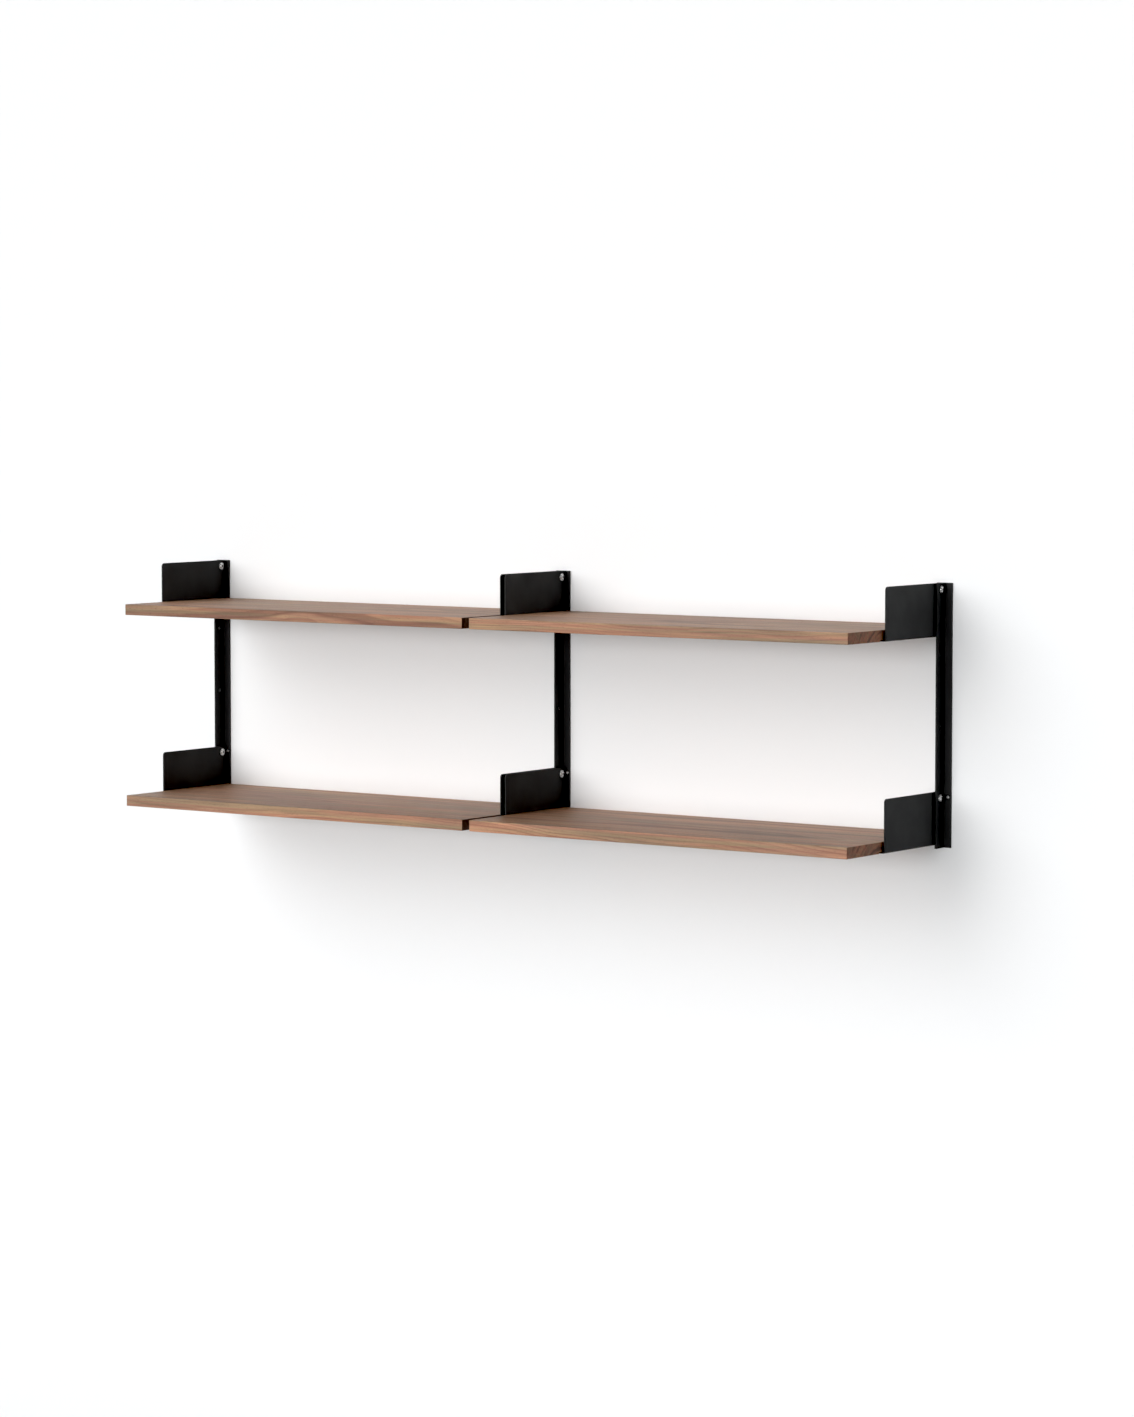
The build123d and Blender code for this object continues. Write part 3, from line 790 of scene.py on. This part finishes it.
class SHELF_OT_wall_screws(bpy.types.Operator):
    """Build the threaded wall screws in the places of the plain ones"""

    bl_idname = "shelf.wall_screws"
    bl_label = "Thread the wall screws"

    def execute(self, context):
        finish = context.scene.shelf_fasteners
        mounts = {mount["name"]: mount for mount in frame["record"]["mounts"]}
        for upright in UPRIGHTS:
            node = f"wall_screws_{upright}"
            low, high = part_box(node)
            flange_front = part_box(f"bracket_upper_{upright}" if upright != "centre"
                                  else "bracket_upper_centre_left")[1].y
            pins = [mounts[f"wall_screw_{upright}_{level}"] for level in LEVELS]
            thread = pins[0]["dims"]
            thread_radius = thread["r_mm"] * MILLIMETRE
            thread_end = pins[0]["pos_m"][1] + thread["length_mm"] * MILLIMETRE / 2
            span = abs(pins[0]["pos_m"][0] - pins[1]["pos_m"][0])
            head_radius = (high.x - low.x - span) / 2
            plain_share, corner_share = 0.89, 0.4                    # of the thread's and head's radius
            arm_share, width_share, depth_share = 1.05, 0.30, 0.42   # of the head's radius
            sizes = {
                "reach": thread_end - flange_front,
                "tip": high.y - thread_end,
                "shank_radius": thread_radius * plain_share,
                "shank_end": thread_end - thread["length_mm"] * MILLIMETRE - flange_front,
                "thread_radius": thread_radius,
                "head_radius": head_radius,
                "head_height": flange_front - low.y,
                "rounding": head_radius * corner_share,
                "recess": (head_radius * arm_share, head_radius * width_share, head_radius * depth_share),
            }
            places = [(pin["pos_m"][0], flange_front, pin["pos_m"][2]) for pin in pins]
            screws = wall_screw_pair(f"threaded_screws_{upright}", places, sizes, finish,
                                     bpy.data.materials["dull_zinc_plate"])
            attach(screws, "root")
            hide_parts(node)
        return {"FINISHED"}


class SHELF_OT_studio(bpy.types.Operator):
    """Set up the wall, the floor, the lights and the camera"""

    bl_idname = "shelf.studio"
    bl_label = "Set up the studio"

    def execute(self, context):
        settings = context.scene.shelf_studio
        low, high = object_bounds()
        middle = (low + high) / 2
        self.make_panels(settings)
        self.make_lights(context.scene, settings, middle)
        self.make_camera(context.scene, settings, middle)
        self.set_tones(context.scene.view_settings)
        return {"FINISHED"}

    def set_tones(self, view):
        """Plain colour with the deepest shade set to black."""
        view.view_transform = "Standard"
        view.use_curve_mapping = True
        view.curve_mapping.black_level = (DEEPEST_SHADE,) * 3
        view.curve_mapping.update()

    def direction(self, bearing, height):
        """Unit vector away from the wall, turned right by the bearing and up by the height."""
        return Vector((math.sin(bearing) * math.cos(height),
                       -math.cos(bearing) * math.cos(height), math.sin(height)))

    def make_panels(self, settings):
        """White wall just behind the uprights, and a pale floor below, both one-sided."""
        wall_paint = stage_paint("wall_paint", (0.872, 0.882, 0.890), 900.0, 0.05 * MILLIMETRE, 0.0)
        floor_paint = stage_paint("floor_paint", (0.34, 0.34, 0.34), 300.0, 0.05 * MILLIMETRE, 0.68)
        bottom, ceiling, reach = -settings.floor_drop, 6.0, 9.0
        behind = 0.5 * MILLIMETRE
        wall = np.array([(-reach, behind, bottom), (reach, behind, bottom),
                         (reach, behind, ceiling), (-reach, behind, ceiling)])
        floor = np.array([(-reach, -reach, bottom), (reach, -reach, bottom),
                          (reach, reach, bottom), (-reach, reach, bottom)])
        for name, corners, paint in (("studio_wall", wall, wall_paint), ("studio_floor", floor, floor_paint)):
            panel = mesh_object(name, corners, np.array([[0, 1, 2, 3]]), paint)
            panel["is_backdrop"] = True
        bpy.data.objects["studio_wall"].visible_shadow = False

    def make_lights(self, scene, settings, middle):
        """A large soft light high on the left, level lights in front and behind, and a dim room."""
        # name, strength, bearing to the right of straight ahead, height, width, all in degrees
        softboxes = (
            ("key_light", settings.key_power, -31.0, 25.0, 50.0),
            ("front_light", settings.front_power, 3.0, 2.0, 18.0),
            ("rear_light", settings.back_fill, 180.0, 0.0, 8.0),
        )
        for name, power, bearing, height, width in softboxes:
            data = bpy.data.lights.new(name, "SUN")
            data.energy = power
            data.angle = math.radians(width)
            lamp = bpy.data.objects.new(name, data)
            toward = self.direction(math.radians(bearing), math.radians(height))
            lamp.location = middle + toward * 6.0
            lamp.rotation_euler = toward.to_track_quat("Z", "Y").to_euler()
            scene.collection.objects.link(lamp)

        world = bpy.data.worlds.new("studio_room")
        world.use_nodes = True
        tree = world.node_tree
        tree.nodes.clear()
        aim = place(tree, "TexCoord").outputs["Generated"]
        toward_wall = place(tree, "SeparateXYZ", {0: aim}).outputs[1]
        room = spread(tree, ease(tree, toward_wall, 0.06, -0.06), 0.0, settings.fill)
        lit = place(tree, "Background", {"Color": (1.0, 1.0, 1.0, 1.0), "Strength": room})
        shown = place(tree, "Background", {"Color": (1.0, 1.0, 1.0, 1.0), "Strength": 1.0})
        seen = place(tree, "LightPath").outputs["Is Camera Ray"]
        both = place(tree, "MixShader", {0: seen, 1: lit.outputs[0], 2: shown.outputs[0]})
        ending = place(tree, "OutputWorld")
        tree.links.new(both.outputs[0], ending.inputs["Surface"])
        scene.world = world

    def make_camera(self, scene, settings, middle):
        """Long lens, to the right of the shelf and a little above its middle."""
        data = bpy.data.cameras.new("camera")
        data.lens = settings.lens
        data.sensor_width = 36.0
        data.clip_end = 100.0
        camera = bpy.data.objects.new("camera", data)
        aim = Vector(settings.aim)
        back = self.direction(settings.azimuth, settings.elevation)
        camera.location = aim + back * settings.distance
        camera.rotation_euler = (-back).to_track_quat("-Z", "Y").to_euler()
        scene.collection.objects.link(camera)
        scene.camera = camera


class SHELF_PT_panel(bpy.types.Panel):
    """Steps and settings of the shelf, in the 3D view's sidebar"""

    bl_idname = "SHELF_PT_panel"
    bl_label = "Wall shelf"
    bl_space_type = "VIEW_3D"
    bl_region_type = "UI"
    bl_category = "Shelf"

    def draw(self, context):
        scene = context.scene
        for step in STEPS:
            self.layout.operator(step.bl_idname)
        for pointer in POINTERS:
            settings = getattr(scene, pointer)
            box = self.layout.box()
            for label in settings.bl_rna.properties.keys():
                if label not in {"rna_type", "name"}:
                    box.prop(settings, label)


STEPS = (SHELF_OT_boards, SHELF_OT_steelwork, SHELF_OT_fasteners, SHELF_OT_wall_screws,
         SHELF_OT_studio)
POINTERS = {
    "shelf_walnut": WalnutFinish,
    "shelf_coat": CoatFinish,
    "shelf_fasteners": FastenerFinish,
    "shelf_studio": StudioSettings,
}


def register():
    """Register the settings, the operators and the panel."""
    for kind in (*POINTERS.values(), *STEPS, SHELF_PT_panel):
        bpy.utils.register_class(kind)
    for name, kind in POINTERS.items():
        setattr(bpy.types.Scene, name, PointerProperty(type=kind))


def unregister():
    """Take everything that register added away again."""
    for name in POINTERS:
        delattr(bpy.types.Scene, name)
    for kind in reversed((*POINTERS.values(), *STEPS, SHELF_PT_panel)):
        bpy.utils.unregister_class(kind)


def main():
    """Run every step in order."""
    register()
    bpy.ops.shelf.boards()
    bpy.ops.shelf.steelwork()
    bpy.ops.shelf.fasteners()
    bpy.ops.shelf.wall_screws()
    bpy.ops.shelf.studio()


if __name__ == "__main__":
    main()
